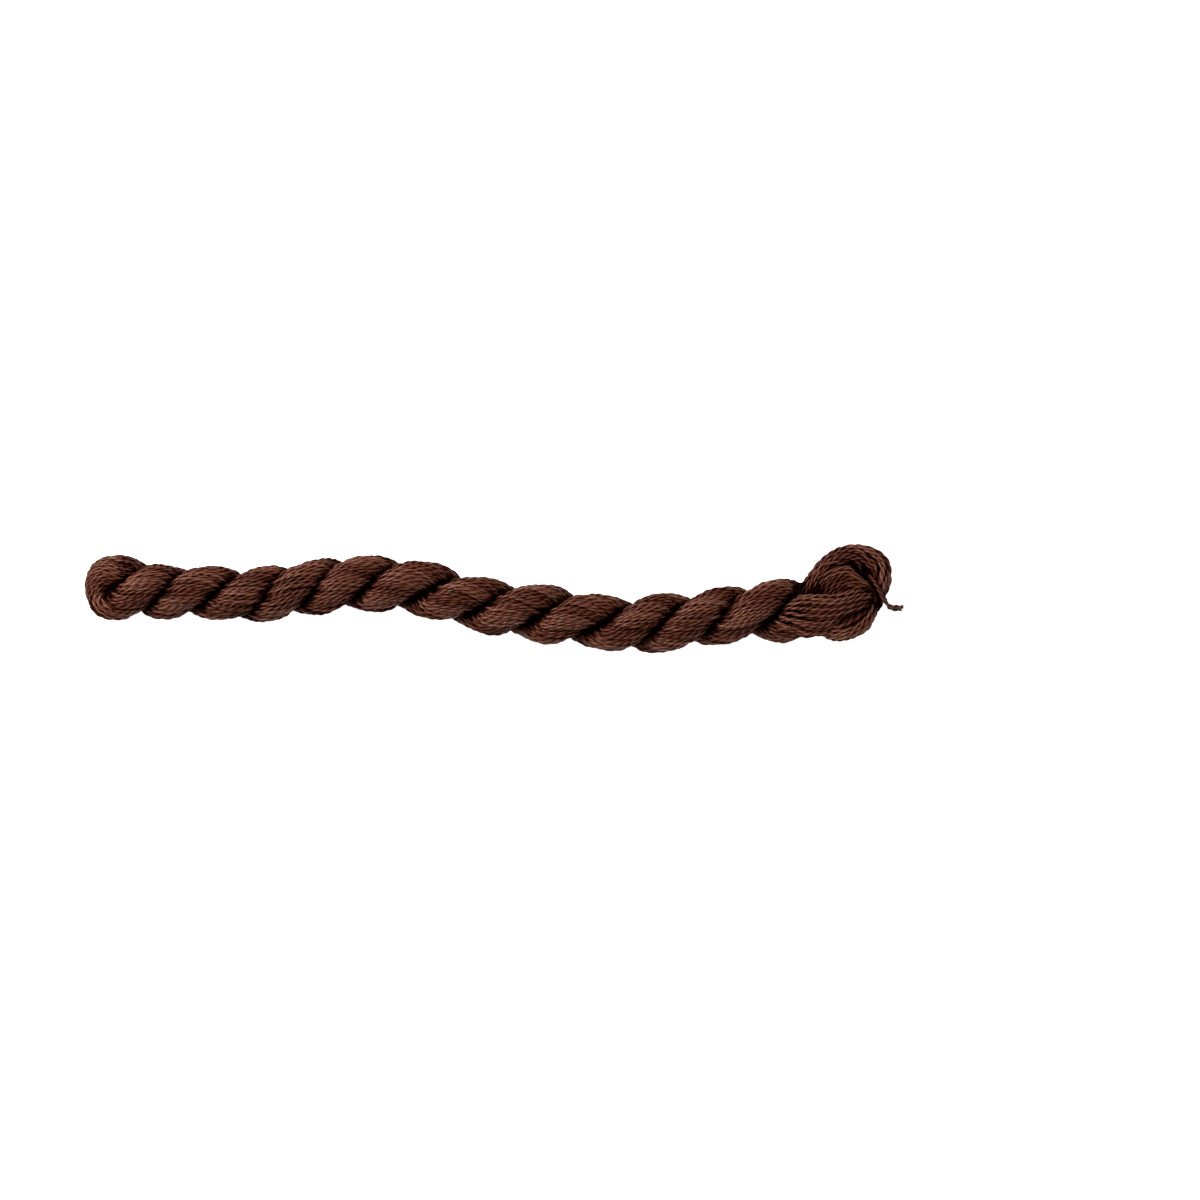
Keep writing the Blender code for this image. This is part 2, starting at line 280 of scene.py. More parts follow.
# angle of the outward direction against a frame that doesn't spin along the route
def frameTurn(route):
    points = route[:, :3]
    ahead = unit(np.gradient(points, axis=0))
    outward = route[:, 3:6]
    outward = unit(outward - (outward * ahead).sum(1, keepdims=True) * ahead)
    across = np.cross(ahead, outward)
    still = np.zeros_like(points)
    still[0] = outward[0]
    for n in range(len(points) - 1):
        a = points[n + 1] - points[n]
        k = 2 / (a @ a)
        r = still[n] - k * (a @ still[n]) * a
        t = ahead[n] - k * (a @ ahead[n]) * a
        b = ahead[n + 1] - t
        still[n + 1] = r - 2 / max(b @ b, 1e-12) * (b @ r) * b
    turn = np.arctan2((outward * np.cross(ahead, still)).sum(1), (outward * still).sum(1))
    return outward, across, np.unwrap(turn)


# places of threads in a round section, from -1 to 1 each way: rings, the outermost last
def ringPlaces(counts, random):
    places = []
    for ring, count in enumerate(counts):
        share = 1.0 if ring == len(counts) - 1 else (ring + 0.55) / (len(counts) - 0.42)
        turn = random.uniform(0, 2 * math.pi) + 2 * math.pi * np.arange(count) / count
        places.append(share * np.stack([np.cos(turn), np.sin(turn)], axis=1))
    return np.vstack(places)


# the same in a flat section: layers, the topmost first
def layerPlaces(counts):
    places = []
    for layer, count in enumerate(counts):
        height = 1 - 2 * layer / (len(counts) - 1)
        side = np.linspace(-1, 1, count) * (1 - 0.14 * height * height)
        places.append(np.stack([0 * side + 0.92 * height, side], axis=1))
    return np.vstack(places)


# slow random curve with values about -1 to 1 along a length in mm
def drift(along, length, random):
    total = 0 * along
    for k in range(3):
        wave = length * random.uniform(0.6, 1.6) / (1 + 0.6 * k)
        total = total + np.sin(along * 2 * math.pi / wave + random.uniform(0, 6.3)) / (1 + 0.7 * k)
    return total / 1.5


# threads that follow a route: they turn in rings, or lie in layers where it is flat
def bundle(route, counts, layers, rate, wander, v, random):
    outward, across, turn = frameTurn(route)
    along = distanceAlong(route[:, :3])
    spin = np.cumsum(rate * route[:, 8] * np.gradient(along)) - turn
    half = v["threadWidth"] / 2
    deep, wide = route[:, 7] - half, route[:, 6] - half
    radius = np.sqrt(np.maximum(deep * wide, 0.5))
    places = ringPlaces(counts, random)
    flat = places
    if layers:
        inside = np.flatnonzero(route[:, 9] > 0.5)
        enter, leave = inside[0], inside[-1]
        spin[(enter + leave) // 2:] -= spin[leave] - spin[enter]
        c, d = math.cos(spin[enter]), math.sin(spin[enter])
        seen = np.stack([places[:, 0] * c - places[:, 1] * d,
                         places[:, 0] * d + places[:, 1] * c], axis=1)
        flat = layerPlaces(layers)[pairUp(seen, layerPlaces(layers))]
    roundWave, outWave, sideWave = v["strayWaves"]
    threads = []
    for (up, side), (layerUp, layerSide) in zip(places, flat):
        stray = wander / radius
        angle = spin + stray * drift(along, roundWave, random)
        part = 1 + 0.5 * stray * drift(along, outWave, random)
        share = route[:, 9]
        high = (up * np.cos(angle) - side * np.sin(angle)) * part * (1 - share) + layerUp * share
        broad = (up * np.sin(angle) + side * np.cos(angle)) * part * (1 - share) + (
            layerSide + 0.35 * wander / wide * drift(along, sideWave, random)) * share
        threads.append(
            route[:, :3] + outward * (deep * high)[:, None] + across * (wide * broad)[:, None])
    return np.array(threads)


# pairs two equal lists of points so that the sum of squared gaps is least
def pairUp(here, there):
    cost = ((here[:, None] - there[None]) ** 2).sum(-1)
    order = list(range(len(here)))
    better = True
    while better:
        better = False
        for a in range(len(order)):
            for b in range(a + 1, len(order)):
                now = cost[a, order[a]] + cost[b, order[b]]
                swapped = cost[a, order[b]] + cost[b, order[a]]
                if swapped < now - 1e-9:
                    order[a], order[b] = order[b], order[a]
                    better = True
    return order


# one line out of two that overlap
def joined(first, second, overlap):
    w = np.linspace(0, 1, overlap)
    w = (w * w * (3 - 2 * w))[:, None]
    mixed = first[-overlap:] * (1 - w) + second[:overlap] * w
    return np.vstack([first[:-overlap], mixed, second[overlap:]])


# opens the eye, the gap between fan and arch: the fan's upper threads move away from it, and
# the deep ones of both, side -1 and 1, move in under it
def partThreads(lines, side, fill, v):
    turn = math.radians(v["eyeTurn"])
    x, y = lines[..., 0] - v["eyeMiddle"][0], lines[..., 1] - v["eyeMiddle"][1]
    along = x * math.cos(turn) + y * math.sin(turn)
    across = y * math.cos(turn) - x * math.sin(turn)
    deep = np.clip((v["eyeFloor"] - lines[..., 2]) / v["eyeSoft"] + 1, 0, 1)
    share = np.clip(1 - side * (across - v["eyeEdge"]) / v["eyeSpread"], 0, 1)
    gap = np.maximum(0, 1 - (along / v["eyeReach"]) ** 2) ** 1.5 * (1 - deep)
    below = np.maximum(0, 1 - (along / v["eyeReach"] / v["eyeWiden"]) ** 2) ** 1.5 * deep
    push = -side * share ** 2 * fill * below
    if side < 0:
        push -= share * v["eyeDrop"] * gap
    lines[..., 0] -= push * math.sin(turn)
    lines[..., 1] += push * math.cos(turn)


# all threads as long chains: back loop half, ply, front loop, ply, back loop half, each with
# marks of which points lie in which ring of a ply, or in a loop
def makeChains(v):
    random = np.random.default_rng(v["seed"])
    gap, overlap = v["routeStep"], v["joinPoints"]
    main = bundle(evenRoute(plyRoute(v), gap), v["rings"], None, v["threadLay"], v["wander"],
                  v, random)
    front = bundle(evenRoute(bandRoute(frontLoop), gap), v["loopRings"], v["loopLayers"],
                   v["loopLay"], v["loopWander"], v, random)
    back = bundle(evenRoute(bandRoute(backLoop), gap), v["loopRings"], v["fanLayers"],
                  v["loopLay"], v["loopWander"], v, random)
    partThreads(back, -1, v["fanFill"], v)
    partThreads(front, 1, v["archFill"], v)
    ringOf = [ring for ring, count in enumerate(v["rings"]) for _ in range(count)]
    loops = len(front)
    middle = overlap // 2
    frontEnds = np.vstack([front[:, middle], front[:, -1 - middle]])
    backEnds = np.vstack([back[:, middle], back[:, -1 - middle]])
    toFront = pairUp(main[:, -1 - middle], frontEnds)
    toBack = pairUp(main[:, middle], backEnds)
    atFront = {end: n for n, end in enumerate(toFront)}
    half = back.shape[1] // 2
    loopRing = len(v["rings"])
    chains = []
    for k in range(loops):
        starts, ends = atFront[k], atFront[k + loops]
        tails = []
        for n in (starts, ends):
            end = toBack[n]
            tail = back[end % loops][:half + 1] if end < loops else back[end % loops][half:][::-1]
            tails.append(tail)
        tail = tails[0]
        chain = joined(tail[::-1], main[starts], overlap)
        marks = [(0, len(tail) - middle, loopRing)]
        marks.append((len(tail) - middle, len(chain) - middle, ringOf[starts]))
        chain = joined(chain, front[k], overlap)
        marks.append((marks[-1][1], len(chain) - middle, loopRing))
        chain = joined(chain, main[ends][::-1], overlap)
        marks.append((marks[-1][1], len(chain) - middle, ringOf[ends]))
        chain = joined(chain, tails[1], overlap)
        marks.append((marks[-1][1], len(chain) - 1, loopRing))
        chains.append((chain, marks))
    return chains


# girth of a thread at each point: slimmer in the loops, and squeezed by the tie
def knotPinch(points, v):
    away = np.linalg.norm(points - np.array(v["knot"]), axis=1)
    atLoop = np.clip((points[:, 0] - v["loopEdge"]) / v["edgeSoft"], 0, 1)
    loop = 1 + (v["loopGirth"] - 1) * atLoop
    return loop * (1 - v["knotPinch"] * np.exp(-(away / v["knotReach"]) ** 2))


# 1 for the threads deep under the eye, 0 elsewhere; they get painted shade and more girth
def underEye(points, v):
    away = np.linalg.norm(points[:, :2] - np.array(v["eyeMiddle"]), axis=1)
    deep = np.clip((v["eyeFloor"] + v["eyeSoft"] - points[:, 2]) / v["eyeSoft"], 0, 1)
    return np.clip((v["eyeShadow"] - away) / v["eyeSoft"], 0, 1) * deep


def nearTree(points):
    tree = KDTree(len(points))
    for k, p in enumerate(points):
        tree.insert(p, k)
    tree.balance()
    return tree


# values of all points, cut into one row for each line
def perLine(values, lines):
    return np.split(values, np.cumsum([len(line) for line in lines])[:-1])


# pushes touching threads apart, keeps each near its own smooth line and above the floor
def relax(lines, reach, rounds, floor, pinches):
    points = np.vstack(lines)
    pinch = np.concatenate(pinches)
    sizes = [len(line) for line in lines]
    starts = np.cumsum([0] + sizes)
    owner = np.repeat(np.arange(len(lines)), sizes)
    index = np.concatenate([np.arange(n) for n in sizes])
    rest = points.copy()
    for n in range(rounds):
        if n % 6 == 0:  # neighbours are found again now and then
            tree = nearTree(points)
            found = []
            for k, p in enumerate(points):
                for _, other, _ in tree.find_range(p, reach * 1.25):
                    if other > k:
                        found.append((k, other))
            pairs = np.array(found)
            near = (owner[pairs[:, 0]] == owner[pairs[:, 1]]) & (
                np.abs(index[pairs[:, 0]] - index[pairs[:, 1]]) < 4)
            pairs = pairs[~near]
        a, b = pairs[:, 0], pairs[:, 1]
        gap = points[a] - points[b]
        size = np.linalg.norm(gap, axis=1)
        push = np.maximum(reach * (pinch[a] + pinch[b]) / 2 - size, 0) * 0.5
        move = gap / np.maximum(size, 1e-6)[:, None] * push[:, None]
        count = np.bincount(a, push > 0, len(points)) + np.bincount(b, push > 0, len(points))
        shift = np.zeros_like(points)
        for axis in range(3):
            shift[:, axis] = np.bincount(a, move[:, axis], len(points))
            shift[:, axis] -= np.bincount(b, move[:, axis], len(points))
        shift /= np.maximum(count * 0.5, 1)[:, None]
        points = points + shift
        points[:, 2] = np.maximum(points[:, 2], floor)
        away = (points - rest) * 0.985  # draws each point back a little
        smooth = away.copy()
        smooth[1:-1] = 0.25 * away[:-2] + 0.5 * away[1:-1] + 0.25 * away[2:]
        smooth[starts[:-1]] = away[starts[:-1]]
        smooth[starts[1:] - 1] = away[starts[1:] - 1]
        if n < rounds - 3:  # the last rounds only part the threads
            away = smooth
        points = rest + away
    return [points[starts[k]:starts[k + 1]] for k in range(len(lines))]


# how closed in each point is, from about 0.3 on an open bulge to 1 deep inside; it sets the painted
# shade
def crowding(lines, reach, width):
    points = np.vstack(lines)
    tree = nearTree(points)
    # the count of points that fill the ball, 0.95 mm apart along their threads
    full = 4 / 3 * math.pi * reach ** 3 / (width * width * 0.95)
    return perLine(np.array([len(tree.find_range(p, reach)) for p in points]) / full, lines)


# for each point the way out of the bundle, short where threads lie all round; sides that face away
# from it get painted shade
def openWays(lines, cell, spread):
    points = np.vstack(lines)
    reach = int(math.ceil(2.5 * spread / cell))
    places = ((points - points.min(0)) / cell).astype(int) + reach + 1
    grid = np.zeros(places.max(0) + reach + 2)
    np.add.at(grid, tuple(places.T), 1)
    for axis in range(3):
        grid = sum(np.roll(grid, k, axis) * math.exp(-0.5 * (k * cell / spread) ** 2)
                   for k in range(-reach, reach + 1))
    ways = -np.stack([slope[tuple(places.T)] for slope in np.gradient(grid)], axis=1)
    ways /= np.quantile(np.linalg.norm(ways, axis=1), 0.6)
    ways /= np.maximum(np.linalg.norm(ways, axis=1, keepdims=True), 1)
    return perLine(ways, lines)


# 1 where threads lie both above and below a point, half that where only above it
def covered(lines, width):
    points = np.vstack(lines)
    tree = nearTree(points)
    seen = [bool(tree.find_range((x, y, z + width), 0.7 * width))
            * (0.5 + 0.5 * bool(tree.find_range((x, y, z - width), 0.7 * width)))
            for x, y, z in points]
    return perLine(np.array(seen), lines)


# a shader value that takes the usual operators
class Sum:
    def __init__(self, tree, socket):
        self.tree = tree
        self.socket = socket

    def node(self, kind, inputs, **settings):
        made = self.tree.nodes.new(kind)
        for name, value in settings.items():
            setattr(made, name, value)
        for place, value in inputs.items():
            if isinstance(value, Sum):
                self.tree.links.new(value.socket, made.inputs[place])
            else:
                made.inputs[place].default_value = value
        return made

    def maths(self, operation, *values):
        made = self.node("ShaderNodeMath", dict(enumerate(values)), operation=operation)
        return Sum(self.tree, made.outputs[0])

    def __add__(self, other):
        return self.maths("ADD", self, other)

    def __mul__(self, other):
        return self.maths("MULTIPLY", self, other)

    def __sub__(self, other):
        return self.maths("SUBTRACT", self, other)

    def __rsub__(self, other):
        return self.maths("SUBTRACT", other, self)

    def __pow__(self, other):
        return self.maths("POWER", self, other)

    __radd__ = __add__
    __rmul__ = __mul__

    def clamp(self, low, high):
        return self.maths("MAXIMUM", self.maths("MINIMUM", self, high), low)


threadLook = {
    # from dark to light: partly the thread's own tone, partly painted shade between its strands
    "dark": (0.011, 0.0020, 0.0007),
    "light": (0.162, 0.0565, 0.0390),
    "golden": (0.153, 0.0620, 0.0300),
    "base": -0.07,  # how light a thread is where its two strands meet, and what each of these adds; crown is painted shade, darker in that groove than on the strands' crowns, while streak, patch and tone are the thread's own colour
    "crown": 0.59,
    "streak": 0.75,
    "patch": 0.6,
    "tone": 0.5,
    "shade": (0.49, 0.80),  # crowding where the painted shade starts, and where it is deepest
    "shadeDepth": 0.93,
    "roughness": 0.5,
    "specular": 0.01,
    "gloss": 0.85,
    "glossRoughness": 0.38,
    "sideTurn": 0.1,  # how far threads' sides stay free of painted shade; sideDepth is how dark it paints sides that face into the bundle
    "sideDepth": 0.6,
    "fibreBump": 0.5,
}


# lift makes the whole thread lighter; the attributes come from the sweep below
def threadMaterial(name, v, lift):
    made = bpy.data.materials.new(name)
    made.use_nodes = True
    tree = made.node_tree
    shader = tree.nodes["Principled BSDF"]
    base = Sum(tree, None)

    def attribute(name):
        made = base.node("ShaderNodeAttribute", {}, attribute_name=name)
        return Sum(tree, made.outputs["Fac"])

    along, lobe, tone = attribute("along"), attribute("lobe"), attribute("tone")
    flow = Sum(tree, base.node("ShaderNodeCombineXYZ", {
        0: along * 0.35, 1: lobe * 2.2, 2: tone * 37.0}).outputs[0])
    streak = Sum(tree, base.node("ShaderNodeTexNoise", {
        "Vector": flow, "Scale": 3.2, "Detail": 4.0, "Roughness": 0.6}).outputs["Fac"])
    slow = Sum(tree, base.node("ShaderNodeCombineXYZ", {
        0: along * 0.03, 1: tone * 61.0, 2: 0.0}).outputs[0])
    patch = Sum(tree, base.node("ShaderNodeTexNoise", {
        "Vector": slow, "Scale": 3.0, "Detail": 2.0}).outputs["Fac"])
    crown = lobe.maths("ABSOLUTE", lobe)
    # painted shade: crown darkens the groove between the two strands; the other terms are the
    # thread's own tone
    amount = (v["base"] + v["crown"] * crown + v["streak"] * (streak - 0.5)
              + v["patch"] * (patch - 0.5) + v["tone"] * (tone - 0.5) + lift).clamp(0.0, 1.0)
    hue = Sum(tree, base.node("ShaderNodeTexNoise", {
        "Vector": slow, "Scale": 21.0, "Detail": 1.0}).outputs["Fac"])
    pale = base.node("ShaderNodeMix", {
        0: ((hue - 0.4) * 4.0).clamp(0.0, 1.0), 6: (*v["light"], 1.0), 7: (*v["golden"], 1.0)},
        data_type="RGBA")
    colour = base.node("ShaderNodeMix", {
        0: amount, 6: (*v["dark"], 1.0), 7: Sum(tree, pale.outputs[2])}, data_type="RGBA")
    # painted shade: darker where threads are crowded in, and on sides that face into the bundle
    closed = ((attribute("crowd") - v["shade"][0]) * (1 / (v["shade"][1] - v["shade"][0]))
              ).clamp(0.0, 1.0)
    paintedLightLevel = 1.0 - closed * closed * (3.0 - 2.0 * closed) * v["shadeDepth"]
    facing = ((attribute("facing") + v["sideTurn"]) * (1 / (v["sideTurn"] + 0.85))).clamp(0.0, 1.0)
    paintedLightLevel = paintedLightLevel * (1.0 - v["sideDepth"] * (1.0 - facing))
    # painted shade turns threads redder, as green and blue fall off faster
    depths = base.node("ShaderNodeCombineXYZ", {
        0: paintedLightLevel, 1: paintedLightLevel ** 1.25 * amount ** 0.2, 2: paintedLightLevel ** 1.5 * amount ** 0.35})
    shaded = base.node("ShaderNodeVectorMath", {
        0: Sum(tree, colour.outputs[2]), 1: Sum(tree, depths.outputs[0])}, operation="MULTIPLY")
    # the gloss is the coat's own, cut down where shade is painted and where the thread is darker
    coat = paintedLightLevel * paintedLightLevel * amount * amount * v["gloss"]
    tree.links.new(coat.socket, shader.inputs["Coat Weight"])
    shader.inputs["Coat Roughness"].default_value = v["glossRoughness"]
    tree.links.new(shaded.outputs[0], shader.inputs["Base Color"])
    shader.inputs["Roughness"].default_value = v["roughness"]
    shader.inputs["Specular IOR Level"].default_value = v["specular"]
    bump = base.node("ShaderNodeBump", {
        "Strength": v["fibreBump"], "Distance": 0.00006, "Height": streak})
    tree.links.new(bump.outputs[0], shader.inputs["Normal"])
    return made


# node tree that sweeps a two-strand section along every line of a mesh
def sweepTree(material):
    tree = bpy.data.node_groups.new("twistedThread", "GeometryNodeTree")
    face = tree.interface
    face.new_socket("Geometry", in_out="INPUT", socket_type="NodeSocketGeometry")
    names = ("Strand offset", "Strand radius", "Corners")
    kinds = ("NodeSocketFloat", "NodeSocketFloat", "NodeSocketInt")
    for name, kind in zip(names, kinds):
        face.new_socket(name, in_out="INPUT", socket_type=kind)
    face.new_socket("Geometry", in_out="OUTPUT", socket_type="NodeSocketGeometry")
    nodes, link = tree.nodes, tree.links.new

    def add(kind, **settings):
        made = nodes.new(kind)
        for name, value in settings.items():
            setattr(made, name, value)
        return made

    def attribute(name):
        made = add("GeometryNodeInputNamedAttribute", data_type="FLOAT")
        made.inputs[0].default_value = name
        return made.outputs[0]

    def maths(operation, *values):
        made = add("ShaderNodeMath", operation=operation)
        for n, value in enumerate(values):
            if isinstance(value, (int, float)):
                made.inputs[n].default_value = value
            else:
                link(value, made.inputs[n])
        return made.outputs[0]

    given = add("NodeGroupInput")
    lines = add("GeometryNodeMeshToCurve")
    link(given.outputs[0], lines.inputs[0])
    girth = add("GeometryNodeSetCurveRadius")
    link(lines.outputs[0], girth.inputs[0])
    link(attribute("girth"), girth.inputs["Radius"])
    tilt = add("GeometryNodeSetCurveTilt")
    link(girth.outputs[0], tilt.inputs[0])
    link(attribute("phase"), tilt.inputs["Tilt"])
    circle = add("GeometryNodeCurvePrimitiveCircle")
    link(given.outputs[3], circle.inputs["Resolution"])
    circle.inputs["Radius"].default_value = 1.0
    place = add("GeometryNodeInputPosition")
    split = add("ShaderNodeSeparateXYZ")
    link(place.outputs[0], split.inputs[0])
    cosine = split.outputs[0]
    offset = maths("MULTIPLY", given.outputs[1], maths("ABSOLUTE", cosine))
    across = maths("MULTIPLY", given.outputs[1], split.outputs[1])
    reach = maths("SUBTRACT", maths("MULTIPLY", given.outputs[2], given.outputs[2]),
                  maths("MULTIPLY", across, across))
    radius = maths("ADD", offset, maths("SQRT", reach))
    scaled = add("ShaderNodeVectorMath", operation="SCALE")
    link(place.outputs[0], scaled.inputs[0])
    link(radius, scaled.inputs["Scale"])
    lobes = add("GeometryNodeStoreNamedAttribute", data_type="FLOAT", domain="POINT")
    lobes.inputs["Name"].default_value = "lobe"
    link(circle.outputs[0], lobes.inputs[0])
    link(cosine, lobes.inputs["Value"])
    moved = add("GeometryNodeSetPosition")
    link(lobes.outputs[0], moved.inputs[0])
    link(scaled.outputs[0], moved.inputs["Position"])
    swept = add("GeometryNodeCurveToMesh")
    link(tilt.outputs[0], swept.inputs["Curve"])
    link(moved.outputs[0], swept.inputs["Profile Curve"])
    swept.inputs["Fill Caps"].default_value = True
    # how far the surface faces out of the bundle, for the painted shade on inward sides
    way = add("GeometryNodeInputNamedAttribute", data_type="FLOAT_VECTOR")
    way.inputs[0].default_value = "way"
    facing = add("ShaderNodeVectorMath", operation="DOT_PRODUCT")
    link(way.outputs[0], facing.inputs[0])
    link(add("GeometryNodeInputNormal").outputs[0], facing.inputs[1])
    faces = add("GeometryNodeStoreNamedAttribute", data_type="FLOAT", domain="POINT")
    faces.inputs["Name"].default_value = "facing"
    link(swept.outputs[0], faces.inputs[0])
    link(facing.outputs["Value"], faces.inputs["Value"])
    real = add("GeometryNodeRealizeInstances")
    link(faces.outputs[0], real.inputs[0])
    smooth = add("GeometryNodeSetShadeSmooth")
    link(real.outputs[0], smooth.inputs[0])
    look = add("GeometryNodeSetMaterial")
    look.inputs["Material"].default_value = material
    link(smooth.outputs[0], look.inputs[0])
    done = add("NodeGroupOutput")
    link(look.outputs[0], done.inputs[0])
    return tree


# a thread's line, and at each point how far its strands have turned, the length so far, its
# own tone, how closed in it is for the painted shade, its girth and the way out of the bundle
Tube = namedtuple("Tube", "points phase along tone crowd girth way")
tubeFields = ("phase", "along", "tone", "crowd", "girth")


# one piece out of many tubes, width across both strands
def sweepTubes(name, tubes, corners, width, strand, tree):
    points, edges = [], []
    for tube in tubes:
        start = len(points)
        points.extend(tube.points * mm)
        edges.extend((start + n, start + n + 1) for n in range(len(tube.points) - 1))
    mesh = bpy.data.meshes.new(name)
    mesh.from_pydata([tuple(p) for p in points], edges, [])
    for field in tubeFields:
        layer = mesh.attributes.new(field, "FLOAT", "POINT")
        values = np.concatenate([np.broadcast_to(getattr(t, field), len(t.points)) for t in tubes])
        layer.data.foreach_set("value", values.astype(np.float32))
    layer = mesh.attributes.new("way", "FLOAT_VECTOR", "POINT")
    values = np.concatenate([np.broadcast_to(t.way, t.points.shape) for t in tubes])
    layer.data.foreach_set("vector", values.astype(np.float32).ravel())
    lines = bpy.data.objects.new(name + "Lines", mesh)
    bpy.context.scene.collection.objects.link(lines)
    made = lines.modifiers.new("sweep", "NODES")
    made.node_group = tree
    ids = {item.name: item.identifier for item in tree.interface.items_tree
           if item.in_out == "INPUT"}
    made[ids["Strand offset"]] = (width - strand) / 2 * mm
    made[ids["Strand radius"]] = strand / 2 * mm
    made[ids["Corners"]] = corners
    bpy.context.view_layer.update()
    seen = bpy.context.evaluated_depsgraph_get()
    swept = bpy.data.meshes.new_from_object(lines.evaluated_get(seen))
    bpy.data.objects.remove(lines, do_unlink=True)
    swept.name = name
    piece = bpy.data.objects.new(name, swept)
    bpy.context.scene.collection.objects.link(piece)
    print(name, len(swept.polygons) * 2)
    return piece


# cuts the chains at their marks into tubes, finest where they are seen best
def cutTubes(chains, crowds, ways, covers, pinches, v, random):
    groups = {kind: [] for kind in v["spacing"]}
    loopRing = len(v["rings"])
    kinds = ("coarse", "coarse", "medium", "fine", "fine")
    for (chain, marks), crowd, way, cover, pinch in zip(chains, crowds, ways, covers, pinches):
        along = distanceAlong(chain)
        under = underEye(chain, v)
        tone = random.uniform(0, 1)
        girth = 1 + v["unevenWidth"] * drift(along, v["girthWave"], random)
        pitch = v["strandTurn"] * (1 + v["turnSpread"] * random.uniform(-1, 1))
        turn = random.uniform(0, 2 * math.pi) - along * 2 * math.pi / pitch
        turn = turn + v["unevenTurn"] * drift(along, v["turnWave"], random)
        index = np.arange(len(chain))
        for low, high, ring in marks:
            kind = kinds[ring]
            count = max(4, int(round((along[high] - along[low]) / v["spacing"][kind])))
            places = np.linspace(low, high, count + 1)
            rows = [np.interp(places, index, row)
                    for row in (turn, along, crowd, girth * pinch, cover, under, *way.T)]
            phase, length, shade, thickness, hidden, deep, *outward = rows
            if ring == loopRing:
                # painted shade: less of it in the loops, more on the deep threads under the eye
                shade = shade * v["loopCrowd"] + v["eyePaintedShade"] * deep
                thickness = thickness * (
                    1 + (v["coverGirth"] - 1) * np.maximum(hidden, v["eyeGirth"] * deep))
            else:
                # toward the fold the painted shade falls to the loops' share
                beyond = v["foldEdge"] - np.interp(places, index, chain[:, 0])
                atFold = np.clip(beyond / v["edgeSoft"], 0, 1)
                shade = shade * (1 + (v["loopCrowd"] - 1) * atFold)
            groups[kind].append(Tube(throughRows(chain, places) + centring, phase, length,
                                     tone, shade, thickness, np.stack(outward, axis=1)))
    return groups


# thick threads inside the end loops, painted fully shaded, seen only as dark depth between the
# others
def coreTubes(v):
    tubes = []
    for rows in (frontLoop, backLoop):
        route = evenRoute(bandRoute(rows), v["coreStep"])
        _, across, _ = frameTurn(route)
        girth = 2 * v["coreShare"] * np.minimum(route[:, 6], route[:, 7]) / v["threadWidth"]
        for side in v["coreSides"]:
            line = route[:, :3] + across * (side * route[:, 6])[:, None]
            # crowd 1.0 paints them in the deepest shade
            tubes.append(Tube(line + centring, 0.0, distanceAlong(line), 0.5, 1.0, girth,
                              np.zeros(3)))
    return tubes


def makeSkein(v):
    chains = makeChains(v)
    print("chains", len(chains), round(sum(distanceAlong(c)[-1] for c, _ in chains) / 1000, 2), "m")
    rounds = v["relaxRounds"]
    pinches = [knotPinch(c, v) for c, _ in chains]
    lines = relax([c for c, _ in chains], v["threadWidth"] * v["contact"], rounds,
                  v["threadWidth"] / 2, pinches)
    chains = [(line, marks) for line, (_, marks) in zip(lines, chains)]
    print("relaxed")
    random = np.random.default_rng(v["seed"] + 1)
    # crowding and the way out of the bundle set the painted shade
    crowds = crowding(lines, v["crowdReach"], v["threadWidth"])
    ways = openWays(lines, v["openCell"], v["openSpread"])
    covers = covered(lines, v["threadWidth"])
    print("shading worked out")
    groups = cutTubes(chains, crowds, ways, covers, pinches, v, random)
    groups["coarse"] += coreTubes(v)
    tree = sweepTree(threadMaterial("silkThread", threadLook, 0.0))
    print("threads", {kind: len(tubes) for kind, tubes in groups.items()})
    for kind, tubes in groups.items():
        corners = v["corners"][kind]
        load, batches = 0, [[]]
        for tube in tubes:
            size = len(tube.points) * corners * 2
            if load + size > v["pieceTriangles"]:
                load = 0
                batches.append([])
            batches[-1].append(tube)
            load += size
        for number, batch in enumerate(batches, 1):
            piece = sweepTubes(f"{kind}Threads{number}", batch, corners, v["threadWidth"],
                               v["strandWidth"], tree)
            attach(piece, "root")
            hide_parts("skein")


# the tie's bends, from one bare end over the arch, down through the eye and back beneath
Bend = namedtuple("Bend", "x y z")
tieBends = (
    Bend(121.5, -2.6, 8.3),
    Bend(120.1, -2.6, 8.8),
    Bend(118.6, -2.5, 9.1),
    Bend(117.2, -2.2, 9.7),
    Bend(116.2, -1.3, 10.5),
    Bend(115.4, 0.1, 11.6),
    Bend(114.4, 2.1, 12.1),
    Bend(113.4, 3.9, 11.8),
    Bend(112.5, 5.3, 10.2),
    Bend(111.7, 6.3, 7.0),
    Bend(111.9, 6.0, 3.4),
    Bend(113.1, 4.4, 1.2),
    Bend(114.8, 2.2, 1.0),
    Bend(116.1, 0.3, 2.0),
    Bend(116.7, -1.2, 4.4),
    Bend(117.2, -2.5, 6.1),
    Bend(118.1, -3.2, 6.9),
    Bend(119.5, -3.4, 7.0),
    Bend(121.5, -3.3, 6.6),
)
tie = {
    "threadWidth": 1.2,
    "strandWidth": 0.7,
    "strandTurn": 4.2,
    "lift": 0.05,  # how much lighter it is than the skein
    "tone": 0.6,
    "shadeFrom": (115.0, 0.63),  # place along the skein, and how much painted shade the tie gets there, as if closed in
    "shadeTo": (118.0, 0.3),
    "step": 0.4,
    "corners": 12,
}


